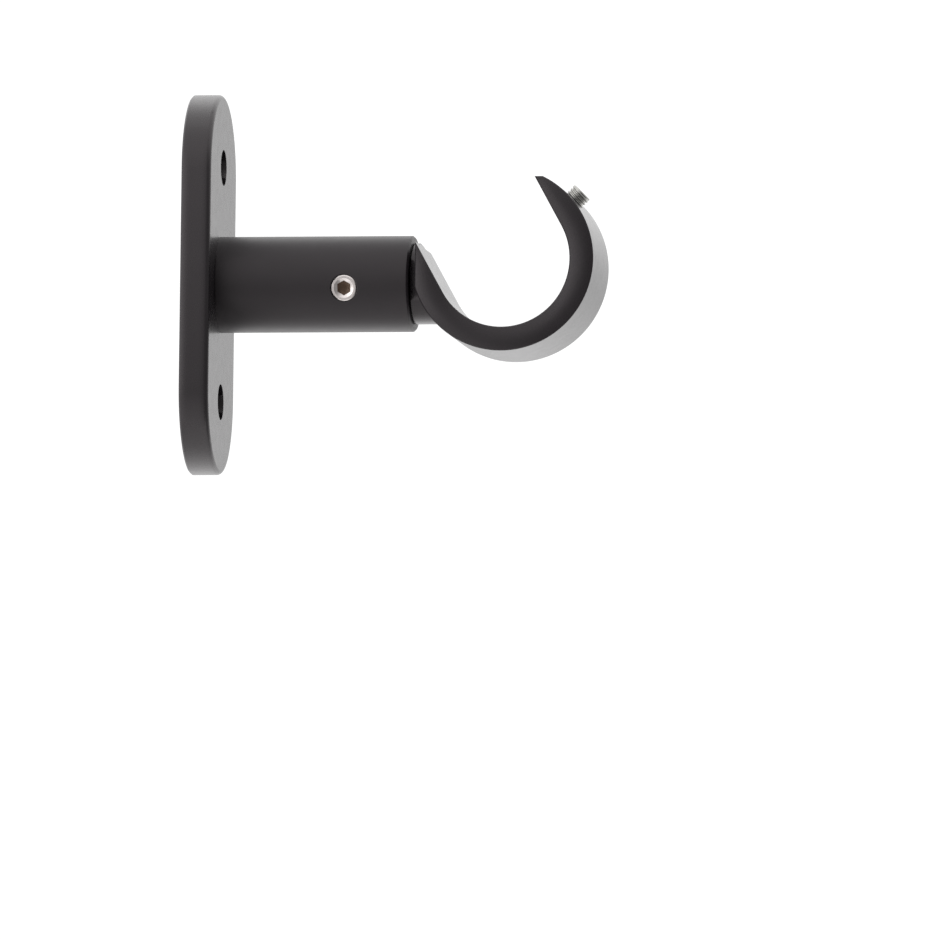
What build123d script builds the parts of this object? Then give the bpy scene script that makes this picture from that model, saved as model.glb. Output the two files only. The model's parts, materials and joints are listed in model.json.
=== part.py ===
"""Curtain pole bracket: a wall plate, a barrel and a sliding hook arm locked by set screws.

Millimetres. The origin is the centre of the plate's back face, X points out of the wall along
the barrel, Y runs along the pole and Z is up.
"""
import os
from math import cos, radians, sin

from build123d import *

# Wall plate
plate_height = 87.4
plate_width = 37.0
plate_thickness = 6.8
plate_front_radius = 1.0
plate_back_chamfer = 0.4
wall_hole_spacing = 54.0
wall_hole_diameter = 4.5
wall_sink_diameter = 8.2
wall_sink_recess = 1.5

# Barrel
barrel_diameter = 22.0
barrel_length = 44.7
barrel_end_chamfer = 0.4
bore_mouth_chamfer = 0.4

# Hook arm
cup_diameter = 31.2
cup_wall = 5.5
cup_overhang = 1.0
cup_mouth_tilt = 29.0
cup_rise = 4.3
cup_tip_cut = 1.0
cup_root_cut = 1.0
cup_edge_chamfer = 0.2
shoulder_diameter = 18.6
spigot_diameter = 12.0
spigot_length = 33.0
spigot_end_chamfer = 0.8

# Fixing screw behind the plate
fixing_diameter = 6.0
fixing_head_diameter = 11.4
fixing_length = 12.0
fixing_recess = 0.3
fixing_socket_width = 4.0
fixing_socket_depth = 2.2

# Set screw in the barrel
barrel_screw_diameter = 6.0
barrel_screw_proud = 0.05
barrel_screw_position = 29.9
barrel_screw_drop_angle = 11.0
barrel_screw_socket_width = 3.0
barrel_screw_socket_depth = 2.0

# Set screw in the tip of the cup
pole_screw_diameter = 5.0
pole_screw_length = 6.0
pole_screw_angle = 45.0
pole_screw_proud = 2.4
pole_screw_socket_width = 2.5
pole_screw_socket_depth = 2.0

# Shared by the screws
sink_angle = 90.0
socket_sides = 6
screw_end_chamfer_ratio = 0.05

# Clearances, radial unless named as gaps along an axis
thread_clearance = 0.05
sliding_clearance = 0.06
shank_clearance = 0.2
head_clearance = 0.05
cup_gap = 0.8
shoulder_gap = 0.3
bore_end_gap = 2.3
tap_end_gap = 2.5
clamp_gap = 0.05

# Derived positions
barrel_end = plate_thickness + barrel_length
bore_depth = spigot_length - shoulder_gap + bore_end_gap
tap_depth = fixing_recess + fixing_length - plate_thickness + tap_end_gap
cup_radius = cup_diameter / 2
hook_radius = cup_radius + cup_wall
cup_x = barrel_end + cup_gap + hook_radius
cup_width = barrel_diameter + 2 * cup_overhang
shoulder_x = barrel_end + shoulder_gap
mouth_angle = radians(cup_mouth_tilt)
mouth_axis = Axis((cup_x, cup_rise, 0), (-sin(mouth_angle), cos(mouth_angle), 0))
barrel_screw_foot = spigot_diameter / 2 + clamp_gap
barrel_screw_face = barrel_diameter / 2 + barrel_screw_proud
drop_angle = radians(barrel_screw_drop_angle)
barrel_screw_plane = Plane(
    origin=(plate_thickness + barrel_screw_position, 0, 0),
    x_dir=(1, 0, 0),
    z_dir=(0, -cos(drop_angle), -sin(drop_angle)),
)
pole_screw_face = hook_radius + pole_screw_proud
pole_screw_tilt = radians(pole_screw_angle)
pole_screw_plane = Plane(
    origin=(cup_x, 0, cup_rise),
    x_dir=(0, 1, 0),
    z_dir=(cos(pole_screw_tilt), 0, sin(pole_screw_tilt)),
)
wall_side = Plane.ZY

with BuildPart() as wall_plate:
    with BuildSketch(Plane.YZ):
        SlotOverall(plate_height, plate_width, rotation=90)
    extrude(amount=plate_thickness)
    fillet(wall_plate.faces().sort_by(Axis.X)[-1].edges(), plate_front_radius)
    chamfer(wall_plate.faces().sort_by(Axis.X)[0].edges(), plate_back_chamfer)
    with Locations(Plane.YZ.offset(plate_thickness - wall_sink_recess)):
        with GridLocations(0, wall_hole_spacing, 1, 2):
            CounterSinkHole(wall_hole_diameter / 2, wall_sink_diameter / 2, counter_sink_angle=sink_angle)
    with Locations(wall_side):
        CounterSinkHole(
            fixing_diameter / 2 + shank_clearance,
            fixing_head_diameter / 2 + fixing_recess + head_clearance,
            counter_sink_angle=sink_angle,
        )

with BuildPart() as barrel:
    with BuildSketch(Plane.YZ.offset(plate_thickness)):
        Circle(barrel_diameter / 2)
    extrude(amount=barrel_length)
    chamfer(barrel.edges().sort_by(Axis.X)[-1], barrel_end_chamfer)
    with Locations(Plane.YZ.offset(barrel_end)):
        Hole(spigot_diameter / 2 + sliding_clearance, bore_depth)
    bore_mouth = barrel.faces().sort_by(Axis.X)[-1].edges().sort_by(SortBy.RADIUS)[0]
    chamfer(bore_mouth, bore_mouth_chamfer)
    with Locations(wall_side.offset(-plate_thickness)):
        Hole(fixing_diameter / 2 + thread_clearance, tap_depth)
    with BuildSketch(barrel_screw_plane):
        Circle(barrel_screw_diameter / 2 + thread_clearance)
    extrude(amount=barrel_diameter, mode=Mode.SUBTRACT)

with BuildPart() as barrel_fixing_screw:
    head_depth = (fixing_head_diameter - fixing_diameter) / 2
    with BuildSketch(Plane.XZ):
        with BuildLine():
            Polyline(
                (fixing_recess, 0),
                (fixing_recess, fixing_head_diameter / 2),
                (fixing_recess + head_depth, fixing_diameter / 2),
                (fixing_recess + fixing_length, fixing_diameter / 2),
                (fixing_recess + fixing_length, 0),
                close=True,
            )
        make_face()
    revolve(axis=Axis.X)
    chamfer(barrel_fixing_screw.edges().sort_by(Axis.X)[-1], fixing_diameter * screw_end_chamfer_ratio)
    with BuildSketch(Plane.YZ.offset(fixing_recess)):
        RegularPolygon(fixing_socket_width / 2, socket_sides, major_radius=False)
    extrude(amount=fixing_socket_depth, mode=Mode.SUBTRACT)

with BuildSketch(Plane.XZ) as cup_opening:
    with Locations((cup_x, cup_rise)):
        Circle(cup_radius)
        Rectangle(
            cup_diameter,
            2 * hook_radius,
            rotation=cup_mouth_tilt,
            align=(Align.CENTER, Align.MIN),
        )

with BuildPart() as hook_arm:
    with BuildSketch(Plane.YZ.offset(shoulder_x)):
        Circle(shoulder_diameter / 2)
    extrude(amount=cup_x - shoulder_x)
    extrude(cup_opening.sketch, amount=cup_width / 2, both=True, mode=Mode.SUBTRACT)
    with BuildSketch(Plane.XZ) as cup_profile:
        with Locations((cup_x, cup_rise)):
            Circle(hook_radius)
        add(cup_opening.sketch_local, mode=Mode.SUBTRACT)
        front_tip = cup_profile.vertices().sort_by(mouth_axis)[-2:].sort_by(Axis.X)[-1]
        with Locations((front_tip.X, front_tip.Y - cup_tip_cut)):
            Rectangle(hook_radius, hook_radius, align=(Align.CENTER, Align.MIN), mode=Mode.SUBTRACT)
        with Locations((cup_x - hook_radius + cup_root_cut, cup_rise)):
            Rectangle(hook_radius, 2 * hook_radius, align=(Align.MAX, Align.CENTER), mode=Mode.SUBTRACT)
    extrude(amount=cup_width / 2, both=True)
    chamfer(hook_arm.faces().filter_by(Axis.Y).edges(), cup_edge_chamfer)
    with BuildSketch(Plane.YZ.offset(shoulder_x)):
        Circle(spigot_diameter / 2)
    extrude(amount=-spigot_length)
    chamfer(hook_arm.edges().sort_by(Axis.X)[0], spigot_end_chamfer)
    with BuildSketch(pole_screw_plane):
        Circle(pole_screw_diameter / 2 + thread_clearance)
    extrude(amount=2 * hook_radius, mode=Mode.SUBTRACT)

with BuildPart() as barrel_set_screw:
    with BuildSketch(barrel_screw_plane.offset(barrel_screw_face)):
        Circle(barrel_screw_diameter / 2)
    extrude(amount=barrel_screw_foot - barrel_screw_face)
    chamfer(
        barrel_set_screw.edges().filter_by(GeomType.CIRCLE),
        barrel_screw_diameter * screw_end_chamfer_ratio,
    )
    with BuildSketch(barrel_screw_plane.offset(barrel_screw_face)):
        RegularPolygon(barrel_screw_socket_width / 2, socket_sides, major_radius=False)
    extrude(amount=-barrel_screw_socket_depth, mode=Mode.SUBTRACT)

with BuildPart() as pole_set_screw:
    with BuildSketch(pole_screw_plane.offset(pole_screw_face)):
        Circle(pole_screw_diameter / 2)
    extrude(amount=-pole_screw_length)
    chamfer(
        pole_set_screw.edges().filter_by(GeomType.CIRCLE),
        pole_screw_diameter * screw_end_chamfer_ratio,
    )
    with BuildSketch(pole_screw_plane.offset(pole_screw_face)):
        RegularPolygon(pole_screw_socket_width / 2, socket_sides, major_radius=False)
    extrude(amount=-pole_screw_socket_depth, mode=Mode.SUBTRACT)

wall_plate.part.label = "wall_plate"
barrel.part.label = "barrel"
barrel_fixing_screw.part.label = "barrel_fixing_screw"
hook_arm.part.label = "hook_arm"
barrel_set_screw.part.label = "barrel_set_screw"
pole_set_screw.part.label = "pole_set_screw"

os.makedirs("parts", exist_ok=True)
export_step(wall_plate.part, "parts/wall_plate.step")
export_step(barrel.part, "parts/barrel.step")
export_step(barrel_fixing_screw.part, "parts/barrel_fixing_screw.step")
export_step(hook_arm.part, "parts/hook_arm.step")
export_step(barrel_set_screw.part, "parts/barrel_set_screw.step")
export_step(pole_set_screw.part, "parts/pole_set_screw.step")
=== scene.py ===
"""Looks of the curtain pole bracket: satin black coat, threaded plated screws and soft white light.

Metres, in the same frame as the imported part: X out of the wall, Y along the pole, Z up.
"""
import json
import math

import bpy
from mathutils import Matrix, Vector


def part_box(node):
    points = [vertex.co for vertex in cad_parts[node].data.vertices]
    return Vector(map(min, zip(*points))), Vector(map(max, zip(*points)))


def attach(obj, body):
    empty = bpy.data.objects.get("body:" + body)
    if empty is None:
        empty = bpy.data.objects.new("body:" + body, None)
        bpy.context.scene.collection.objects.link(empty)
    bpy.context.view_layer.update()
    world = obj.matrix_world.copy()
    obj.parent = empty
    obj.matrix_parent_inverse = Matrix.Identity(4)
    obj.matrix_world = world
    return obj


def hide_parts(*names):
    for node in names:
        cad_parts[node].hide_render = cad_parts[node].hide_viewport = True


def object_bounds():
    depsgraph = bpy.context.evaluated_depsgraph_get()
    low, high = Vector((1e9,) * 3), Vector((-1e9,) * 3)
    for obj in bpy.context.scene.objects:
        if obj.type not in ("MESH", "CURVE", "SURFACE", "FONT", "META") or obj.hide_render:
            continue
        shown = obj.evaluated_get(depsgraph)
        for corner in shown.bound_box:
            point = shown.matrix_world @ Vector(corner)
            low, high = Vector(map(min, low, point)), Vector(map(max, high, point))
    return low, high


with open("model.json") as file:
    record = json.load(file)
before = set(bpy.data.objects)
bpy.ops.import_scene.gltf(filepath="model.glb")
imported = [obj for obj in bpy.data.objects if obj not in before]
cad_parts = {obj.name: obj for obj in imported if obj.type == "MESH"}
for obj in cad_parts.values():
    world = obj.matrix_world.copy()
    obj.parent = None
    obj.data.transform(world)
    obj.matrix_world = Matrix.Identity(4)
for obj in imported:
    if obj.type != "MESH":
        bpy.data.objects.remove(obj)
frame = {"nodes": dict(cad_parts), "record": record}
cad_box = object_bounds()
MM = 0.001

# Camera: a long lens from the front, a little to the right and below
IMAGE_SIDE = 940
CAMERA_YAW = math.radians(9.2)
CAMERA_PITCH = math.radians(-6.6)
CAMERA_ROLL = math.radians(0.75)
CAMERA_DISTANCE = 8.0
PIXELS_PER_METRE = 4368.0
ANCHOR = Vector((28 * MM, 0, 0))
ANCHOR_PIXEL = (313.6, 284.5)

# Stage: a pale floor well below the part, in a white surround with soft brighter and dimmer areas
FLOOR_DROP = 1.2
FLOOR_SIDE = 0.9
FLOOR_COLOUR = (0.93, 0.93, 0.925, 1)
FLOOR_GRAIN_SHADE = 0.98
FLOOR_ROUGHNESS = 0.9
SURROUND_COLOUR = (1, 1, 1, 1)
SURROUND_STRENGTH = 1.3
SOFT_AREAS = (
    # Direction from the part, degrees where the area starts to fade and ends, change of strength
    (Vector((0.72, -0.62, -0.32)), 28, 88, -0.98),
    (Vector((-0.70, 0.70, 0.10)), 10, 45, -0.50),
    (Vector((0, 0.99, 0.10)), 10, 40, -0.43),
    (Vector((-0.10, 0.85, 0.50)), 10, 40, 0.50),
    (Vector((0, 0.85, -0.50)), 10, 40, 0.50),
    (Vector((-0.80, -0.58, 0.15)), 8, 40, 0.75),
    (Vector((-0.25, -0.60, -0.76)), 6, 32, 0.30),
)

# Coated pieces: how far the crown of their sides reaches in from the edges, the refractive index
# and roughness of the coat, and how much the sides lean per metre of height, as if they bulged
COATS = {
    # The plate's coat has a higher refractive index than the others as painted light: its stronger
    # reflections stand in for brighter light falling on the plate
    "wall_plate": (2.5 * MM, 1.52, 0.265, 11),
    "barrel": (0.5 * MM, 1.45, 0.40, 0),
    "hook_arm": (6.0 * MM, 1.45, 0.23, 0),
}
COAT_COLOURS = ((0.0090, 0.0074, 0.0088, 1), (0.0130, 0.0110, 0.0128, 1))
COAT_TINT = (1.0, 0.93, 0.95, 1)
COAT_UNEVENNESS = 0.015
PEEL_HEIGHT = 0.02 * MM
PEEL_STRENGTH = 0.12
# How squarely a face has to look along Y for its crown to start, and to be full
CROWN_START = 0.85
CROWN_FULL = 0.95

# Plating of the screws, the brown painted shade in its grooves, and the wax, oxide and painted
# shade in the sockets
BRIGHT_PLATING = ((0.60, 0.55, 0.535, 1), (0.73, 0.68, 0.665, 1))
DULL_PLATING = ((0.37, 0.365, 0.35, 1), (0.47, 0.465, 0.445, 1))
PLATING_ROUGHNESS = (0.18, 0.32)
PLATING_EDGE_RADIUS = 0.06 * MM
MARK_HEIGHT = 0.006 * MM
MARK_STRENGTH = 0.4
RESIDUE_AND_SHADE_COLOURS = ((0.19, 0.132, 0.097, 1), (0.29, 0.205, 0.152, 1))
RESIDUE_ROUGHNESS = (0.55, 0.75)
GROOVE_SHADE_COLOUR = (0.085, 0.062, 0.045, 1)
GROOVE_SHADE_REACH = 1.0 * MM
# How open the surface is where the painted groove shade is full, and where it ends
GROOVE_SHADE_FULL = 0.05
GROOVE_SHADE_END = 0.30

# Noises: features per metre and levels of finer detail
COAT_COLOUR_NOISE = (160, 3)
COAT_GLOSS_NOISE = (420, 4)
PEEL_NOISE = (1500, 2)
PLATING_COLOUR_NOISE = (900, 3)
PLATING_GLOSS_NOISE = (2600, 4)
MARK_NOISE = (5200, 3)
RESIDUE_AND_SHADE_NOISE = (1800, 3)
RESIDUE_GLOSS_NOISE = (3000, 2)
FLOOR_NOISE = (30, 4)
# Lowest and highest value of a noise that is used
NOISE_LOW = 0.3
NOISE_HIGH = 0.7

# Samples of the nodes that look around a point
BEVEL_SAMPLES = 6
SHELTER_SAMPLES = 8

# Screws: how finely the meshes are cut, and the shape of the thread, the socket and the foot
COLUMNS = 96
ROWS_PER_PITCH = 12
SHARP_ANGLE = math.radians(28)
THREAD_DEPTH_SHARE = 0.35
THREAD_CREST_SHARE = 0.25
THREAD_ROOT_SHARE = 0.25
SOCKET_BANDS = 2
SOCKET_LEAD_SHARE = 1.31
SOCKET_LEAD_SLOPE = math.tan(math.radians(30))
FOOT_CHAMFER_SHARE = 0.12
FOOT_RECESS_SHARE = 0.5
RECESS_SLOPE = math.tan(math.radians(30))
TOWARDS_WALL = Vector((-1, 0, 0))
SCREWS = {
    # Body, thread pitch, socket width across flats, socket depth, chamfer where the thread starts
    "barrel_set_screw": ("barrel_screw", 1.0 * MM, 3.0 * MM, 2.0 * MM, 0.25 * MM),
    "pole_set_screw": ("pole_screw", 0.8 * MM, 2.5 * MM, 2.0 * MM, 0.2 * MM),
    "barrel_fixing_screw": ("base", 1.0 * MM, 4.0 * MM, 2.2 * MM, 0),
}


def new_material(name):
    """A node material with a plain Principled shader, and its node tree."""
    material = bpy.data.materials.new(name)
    material.use_nodes = True
    tree = material.node_tree
    shader = next(n for n in tree.nodes if n.type == "BSDF_PRINCIPLED")
    return material, tree, shader


def feed(tree, socket, value):
    """Link a socket to another node's output, or set it to a constant."""
    if isinstance(value, bpy.types.NodeSocket):
        tree.links.new(value, socket)
    else:
        socket.default_value = value


def noise(tree, scale, detail):
    """Solid noise in the object's own coordinates, with features of about 1 / scale metres."""
    place = tree.nodes.new("ShaderNodeTexCoord")
    texture = tree.nodes.new("ShaderNodeTexNoise")
    texture.inputs["Scale"].default_value = scale
    texture.inputs["Detail"].default_value = detail
    tree.links.new(place.outputs["Object"], texture.inputs["Vector"])
    return texture.outputs["Fac"]


def spread(tree, value, low, high, start=NOISE_LOW, end=NOISE_HIGH):
    """Stretch a value's range from start to end over low to high."""
    node = tree.nodes.new("ShaderNodeMapRange")
    node.inputs["From Min"].default_value = start
    node.inputs["From Max"].default_value = end
    node.inputs["To Min"].default_value = low
    node.inputs["To Max"].default_value = high
    tree.links.new(value, node.inputs["Value"])
    return node.outputs["Result"]


def mix_colour(tree, value, low, high):
    """Blend between two colours, given or linked, by a 0 to 1 value."""
    node = tree.nodes.new("ShaderNodeMix")
    node.data_type = "RGBA"
    tree.links.new(value, node.inputs["Factor"])
    feed(tree, node.inputs["A"], low)
    feed(tree, node.inputs["B"], high)
    return node.outputs["Result"]


def vector_math(tree, operation, *values):
    """Result of a vector operation on values that are given or linked."""
    node = tree.nodes.new("ShaderNodeVectorMath")
    node.operation = operation
    for socket, value in zip(node.inputs, values):
        feed(tree, socket, value)
    return node.outputs["Value" if operation == "DOT_PRODUCT" else "Vector"]


def soft_edges(tree, radius):
    """Shading normal that rounds every edge by a radius."""
    node = tree.nodes.new("ShaderNodeBevel")
    node.samples = BEVEL_SAMPLES
    node.inputs["Radius"].default_value = radius
    return node.outputs["Normal"]


def crowned_sides(tree, crown_reach, bulge):
    """Shading normal of sides that are crowned towards their edges and bulge over their height."""
    normal = tree.nodes.new("ShaderNodeNewGeometry").outputs["Normal"]
    place = tree.nodes.new("ShaderNodeTexCoord").outputs["Object"]
    parts = tree.nodes.new("ShaderNodeSeparateXYZ")
    tree.links.new(normal, parts.inputs["Vector"])
    absolute = tree.nodes.new("ShaderNodeMath")
    absolute.operation = "ABSOLUTE"
    tree.links.new(parts.outputs["Y"], absolute.inputs[0])
    squareness = absolute.outputs[0]
    crown = spread(tree, squareness, 0, 1, CROWN_START, CROWN_FULL)
    crowned = vector_math(tree, "MULTIPLY_ADD", soft_edges(tree, crown_reach), crown, normal)
    lean = vector_math(tree, "MULTIPLY", place, (0, 0, bulge))
    bulged = vector_math(tree, "MULTIPLY_ADD", lean, squareness, crowned)
    return vector_math(tree, "NORMALIZE", bulged)


def bump(tree, height, distance, strength, normal):
    """Shading normal with a bump of up to a distance in metres, on top of another normal."""
    node = tree.nodes.new("ShaderNodeBump")
    node.inputs["Distance"].default_value = distance
    node.inputs["Strength"].default_value = strength
    tree.links.new(height, node.inputs["Height"])
    tree.links.new(normal, node.inputs["Normal"])
    return node.outputs["Normal"]


def black_coat(name, crown_reach, refraction, roughness, bulge):
    """Satin black powder coat: slightly uneven colour and gloss, orange peel, crowned sides."""
    material, tree, shader = new_material(name)
    shader.inputs["IOR"].default_value = refraction
    shader.inputs["Specular Tint"].default_value = COAT_TINT
    colour = mix_colour(tree, noise(tree, *COAT_COLOUR_NOISE), *COAT_COLOURS)
    tree.links.new(colour, shader.inputs["Base Color"])
    smoothest = roughness - COAT_UNEVENNESS
    roughest = roughness + COAT_UNEVENNESS
    gloss = spread(tree, noise(tree, *COAT_GLOSS_NOISE), smoothest, roughest)
    tree.links.new(gloss, shader.inputs["Roughness"])
    sides = crowned_sides(tree, crown_reach, bulge)
    peel = bump(tree, noise(tree, *PEEL_NOISE), PEEL_HEIGHT, PEEL_STRENGTH, sides)
    tree.links.new(peel, shader.inputs["Normal"])
    return material


def plated_steel(name, low, high):
    """Plating on turned steel between two colours, with tool marks and brown painted shade in the
    grooves.
    """
    material, tree, shader = new_material(name)
    shader.inputs["Metallic"].default_value = 1
    plating = mix_colour(tree, noise(tree, *PLATING_COLOUR_NOISE), low, high)
    # Painted shade: where ambient occlusion finds the surface sheltered, in the grooves and where a
    # screw sits in its hole, the plating turns brown
    shelter = tree.nodes.new("ShaderNodeAmbientOcclusion")
    shelter.samples = SHELTER_SAMPLES
    shelter.only_local = True
    shelter.inputs["Distance"].default_value = GROOVE_SHADE_REACH
    unshaded = spread(tree, shelter.outputs["AO"], 0, 1, GROOVE_SHADE_FULL, GROOVE_SHADE_END)
    colour = mix_colour(tree, unshaded, GROOVE_SHADE_COLOUR, plating)
    tree.links.new(colour, shader.inputs["Base Color"])
    gloss = spread(tree, noise(tree, *PLATING_GLOSS_NOISE), *PLATING_ROUGHNESS)
    tree.links.new(gloss, shader.inputs["Roughness"])
    edges = soft_edges(tree, PLATING_EDGE_RADIUS)
    marks = bump(tree, noise(tree, *MARK_NOISE), MARK_HEIGHT, MARK_STRENGTH, edges)
    tree.links.new(marks, shader.inputs["Normal"])
    return material


def socket_residue_and_shade():
    """Matt brown colour inside the sockets: partly wax and oxide left in them, partly painted
    shade.
    """
    material, tree, shader = new_material("socket_residue_and_shade")
    colour = mix_colour(tree, noise(tree, *RESIDUE_AND_SHADE_NOISE), *RESIDUE_AND_SHADE_COLOURS)
    tree.links.new(colour, shader.inputs["Base Color"])
    gloss = spread(tree, noise(tree, *RESIDUE_GLOSS_NOISE), *RESIDUE_ROUGHNESS)
    tree.links.new(gloss, shader.inputs["Roughness"])
    return material


def floor_paint():
    """Matt pale floor with a faint grain."""
    material, tree, shader = new_material("floor_paint")
    shader.inputs["Roughness"].default_value = FLOOR_ROUGHNESS
    shade = tuple(FLOOR_GRAIN_SHADE * part for part in FLOOR_COLOUR[:3]) + (1,)
    colour = mix_colour(tree, noise(tree, *FLOOR_NOISE), shade, FLOOR_COLOUR)
    tree.links.new(colour, shader.inputs["Base Color"])
    return material


def socket_radius(angle, width):
    """Distance from the middle of a hexagonal socket to its wall, with a corner at angle 0."""
    sixth = math.tau / 6
    return width / 2 / math.cos(angle % sixth - sixth / 2)


def thread_cut(angle, depth, pitch):
    """Share of the thread's depth that is cut away: 0 on the crest and 1 in the root."""
    from_crest = abs((depth / pitch - angle / math.tau) % 1 - 0.5) * 2
    flank = (from_crest - THREAD_CREST_SHARE) / (1 - THREAD_CREST_SHARE - THREAD_ROOT_SHARE)
    return min(max(flank, 0), 1)


def column_angles():
    """Angles of the mesh columns around a screw."""
    return [math.tau * column / COLUMNS for column in range(COLUMNS)]


def socket_rings(width, depth):
    """Rings of (radius, depth) columns for a socket, from its floor up to the screw's face."""
    corner = width / math.sqrt(3)
    lead = corner * SOCKET_LEAD_SHARE
    walls = [socket_radius(angle, width) for angle in column_angles()]
    return [
        [(0.0, depth + RECESS_SLOPE * corner)] * COLUMNS,
        [(wall, depth) for wall in walls],
        [(wall, SOCKET_LEAD_SLOPE * (lead - wall)) for wall in walls],
        [(lead, 0.0)] * COLUMNS,
    ]


def thread_rings(radius, start, end, start_chamfer, pitch):
    """Rings of a thread that deepens over its first turn, with a chamfer at both of its ends."""
    end_chamfer = 2 * radius * FOOT_CHAMFER_SHARE
    rows = round(ROWS_PER_PITCH * (end - start) / pitch)
    rings = []
    for row in range(rows + 1):
        depth = start + (end - start) * row / rows
        limit = radius - max(start_chamfer - (depth - start), end_chamfer - (end - depth))
        full_cut = THREAD_DEPTH_SHARE * min(depth - start, pitch)
        rings.append([
            (min(limit, radius - full_cut * thread_cut(angle, depth, pitch)), depth)
            for angle in column_angles()
        ])
    return rings


def foot_rings(radius, length):
    """Rings that close a screw's foot with a shallow conical recess."""
    rim = radius * FOOT_RECESS_SHARE
    return [[(rim, length)] * COLUMNS, [(0.0, length - RECESS_SLOPE * rim)] * COLUMNS]


def ring_mesh(name, rings, face, outward):
    """Closed mesh through rings of (radius, depth) columns, with depth counted in from the face."""
    turn = outward.to_track_quat("Z", "X")
    points, loops = [], []
    for ring in rings:
        first = len(points)
        pole = max(radius for radius, _ in ring) == 0
        count = 1 if pole else COLUMNS
        for (radius, depth), angle in zip(ring[:count], column_angles()):
            local = Vector((radius * math.cos(angle), radius * math.sin(angle), -depth))
            points.append(face + turn @ local)
        loops.append([first] * COLUMNS if pole else list(range(first, first + COLUMNS)))
    faces = []
    for upper, lower in zip(loops, loops[1:]):
        for a in range(COLUMNS):
            b = (a + 1) % COLUMNS
            corners = (upper[b], upper[a], lower[a], lower[b])
            faces.append(tuple(dict.fromkeys(corners)))
    mesh = bpy.data.meshes.new(name)
    mesh.from_pydata(points, [], faces)
    # The socket's inner bands take the second material: the sockets' wax, oxide and painted shade
    inside = SOCKET_BANDS * COLUMNS
    mesh.polygons.foreach_set("material_index", [1] * inside + [0] * (len(faces) - inside))
    mesh.polygons.foreach_set("use_smooth", [True] * len(faces))
    mesh.set_sharp_from_angle(angle=SHARP_ANGLE)
    return mesh


def measure_screw(node, outward):
    """Face centre, length, largest radius and shank radius of a CAD screw along its axis."""
    low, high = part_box(node)
    middle = (Vector(low) + Vector(high)) / 2
    offsets = [vertex.co - middle for vertex in frame["nodes"][node].data.vertices]
    depths = [-offset.dot(outward) for offset in offsets]
    radii = [(offset + outward * depth).length for offset, depth in zip(offsets, depths)]
    length = max(depths) - min(depths)
    shank = max(radius for radius, depth in zip(radii, depths) if depth > 0)
    return middle - outward * min(depths), length, max(radii), shank


def build_screw(node, outward, plating, socket_shade_and_residue):
    """Replace a CAD screw by one with a thread, a lead-in to its socket and a recessed foot."""
    body, pitch, socket_width, socket_depth, chamfer = SCREWS[node]
    face, length, head_radius, radius = measure_screw(node, outward)
    rings = socket_rings(socket_width, socket_depth)
    thread_start = 0.0
    if head_radius - radius > chamfer:
        rings.append([(head_radius, 0.0)] * COLUMNS)
        thread_start = head_radius - radius
    rings += thread_rings(radius, thread_start, length, chamfer, pitch)
    rings += foot_rings(radius, length)
    name = node + "_threaded"
    piece = bpy.data.objects.new(name, ring_mesh(name, rings, face, outward))
    bpy.context.scene.collection.objects.link(piece)
    piece.data.materials.append(plating)
    piece.data.materials.append(socket_shade_and_residue)
    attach(piece, body)
    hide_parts(node)


def soft_area(tree, direction, full_angle, end_angle, change):
    """How much a soft round area changes the surround's strength, by how near a direction is."""
    place = tree.nodes.new("ShaderNodeTexCoord").outputs["Generated"]
    fade = tree.nodes.new("ShaderNodeMapRange")
    fade.interpolation_type = "SMOOTHSTEP"
    fade.inputs["From Min"].default_value = math.cos(math.radians(end_angle))
    fade.inputs["From Max"].default_value = math.cos(math.radians(full_angle))
    fade.inputs["To Max"].default_value = change
    nearness = vector_math(tree, "DOT_PRODUCT", place, direction.normalized())
    tree.links.new(nearness, fade.inputs["Value"])
    return fade.outputs["Result"]


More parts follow.
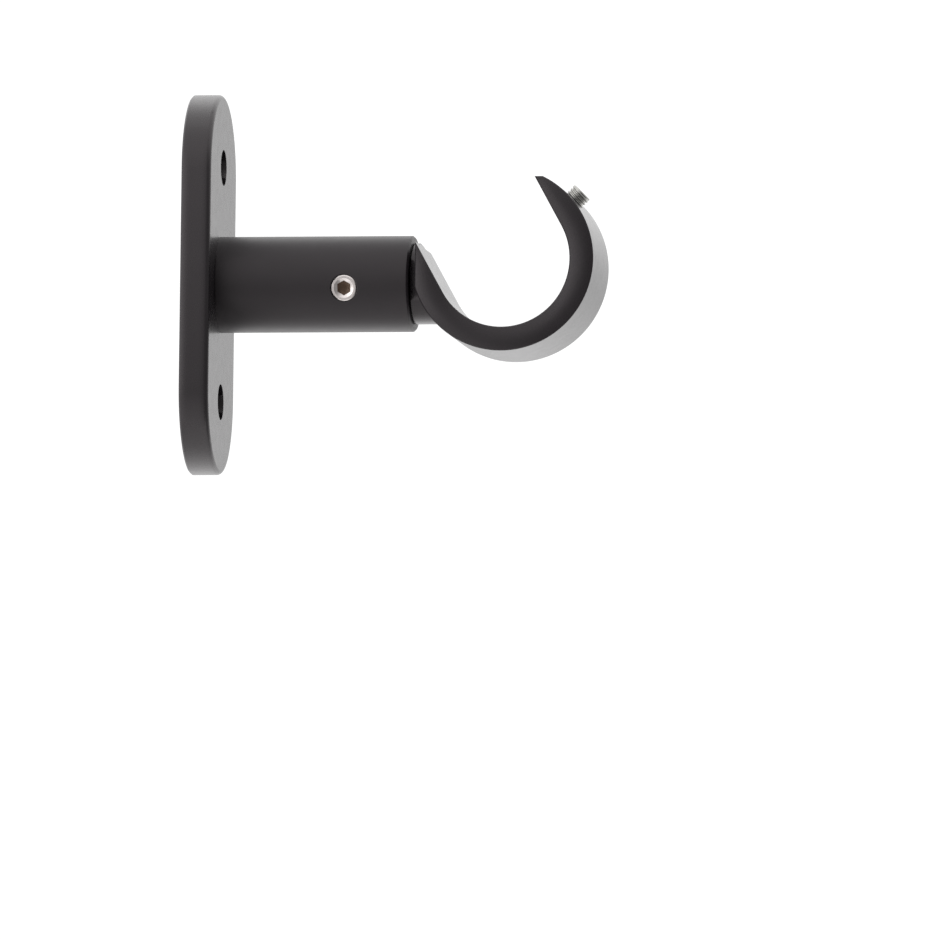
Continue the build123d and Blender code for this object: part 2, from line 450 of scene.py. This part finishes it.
def build_stage():
    """Pale floor and the white surround that lights the part."""
    floor_height = cad_box[0].z - FLOOR_DROP
    bpy.ops.mesh.primitive_plane_add(size=FLOOR_SIDE, location=(0, 0, floor_height))
    floor = bpy.context.object
    floor.name = "floor"
    floor.data.materials.append(floor_paint())

    world = bpy.data.worlds.new("studio")
    bpy.context.scene.world = world
    world.use_nodes = True
    tree = world.node_tree
    background = next(n for n in tree.nodes if n.type == "BACKGROUND")
    background.inputs["Color"].default_value = SURROUND_COLOUR
    strength = background.inputs["Strength"]
    for area in SOFT_AREAS:
        total = tree.nodes.new("ShaderNodeMath")
        total.operation = "ADD"
        tree.links.new(total.outputs[0], strength)
        tree.links.new(soft_area(tree, *area), total.inputs[1])
        strength = total.inputs[0]
    strength.default_value = SURROUND_STRENGTH
    bpy.context.scene.view_settings.view_transform = "Standard"


def build_camera():
    """Camera at the photograph's angle, with the anchor point at its pixel."""
    level = Vector((math.cos(CAMERA_YAW), math.sin(CAMERA_YAW), 0))
    back = Vector((
        math.sin(CAMERA_YAW) * math.cos(CAMERA_PITCH),
        -math.cos(CAMERA_YAW) * math.cos(CAMERA_PITCH),
        math.sin(CAMERA_PITCH),
    ))
    above = back.cross(level)
    right = math.cos(CAMERA_ROLL) * level + math.sin(CAMERA_ROLL) * above
    up = back.cross(right)
    place = ANCHOR + back * CAMERA_DISTANCE
    across = (IMAGE_SIDE / 2 - ANCHOR_PIXEL[0]) / PIXELS_PER_METRE
    down = (IMAGE_SIDE / 2 - ANCHOR_PIXEL[1]) / PIXELS_PER_METRE
    picture_middle = ANCHOR + across * right - down * up
    towards_camera = (place - picture_middle).normalized()
    right = (right - towards_camera * right.dot(towards_camera)).normalized()
    up = towards_camera.cross(right)

    lens = bpy.data.cameras.new("camera")
    lens.lens = lens.sensor_width * CAMERA_DISTANCE * PIXELS_PER_METRE / IMAGE_SIDE
    camera = bpy.data.objects.new("camera", lens)
    bpy.context.scene.collection.objects.link(camera)
    turn = Matrix((right, up, towards_camera)).transposed().to_4x4()
    camera.matrix_world = Matrix.Translation(place) @ turn
    bpy.context.scene.camera = camera


def assign(node, material):
    """Give a CAD node its material."""
    slots = frame["nodes"][node].data.materials
    slots.clear()
    slots.append(material)


for name, coat in COATS.items():
    assign(name, black_coat(name + "_coat", *coat))

bright_plating = plated_steel("bright_plating", *BRIGHT_PLATING)
dull_plating = plated_steel("dull_plating", *DULL_PLATING)
socket_shade_and_residue = socket_residue_and_shade()
joints = frame["record"]["behaviour"]["joints"]
travels = {joint["name"]: Vector(joint["axis"]).normalized() for joint in joints}
build_screw("barrel_set_screw", travels["barrel_screw_travel"], bright_plating, socket_shade_and_residue)
build_screw("pole_set_screw", -travels["pole_screw_travel"], dull_plating, socket_shade_and_residue)
build_screw("barrel_fixing_screw", TOWARDS_WALL, dull_plating, socket_shade_and_residue)

build_stage()
build_camera()
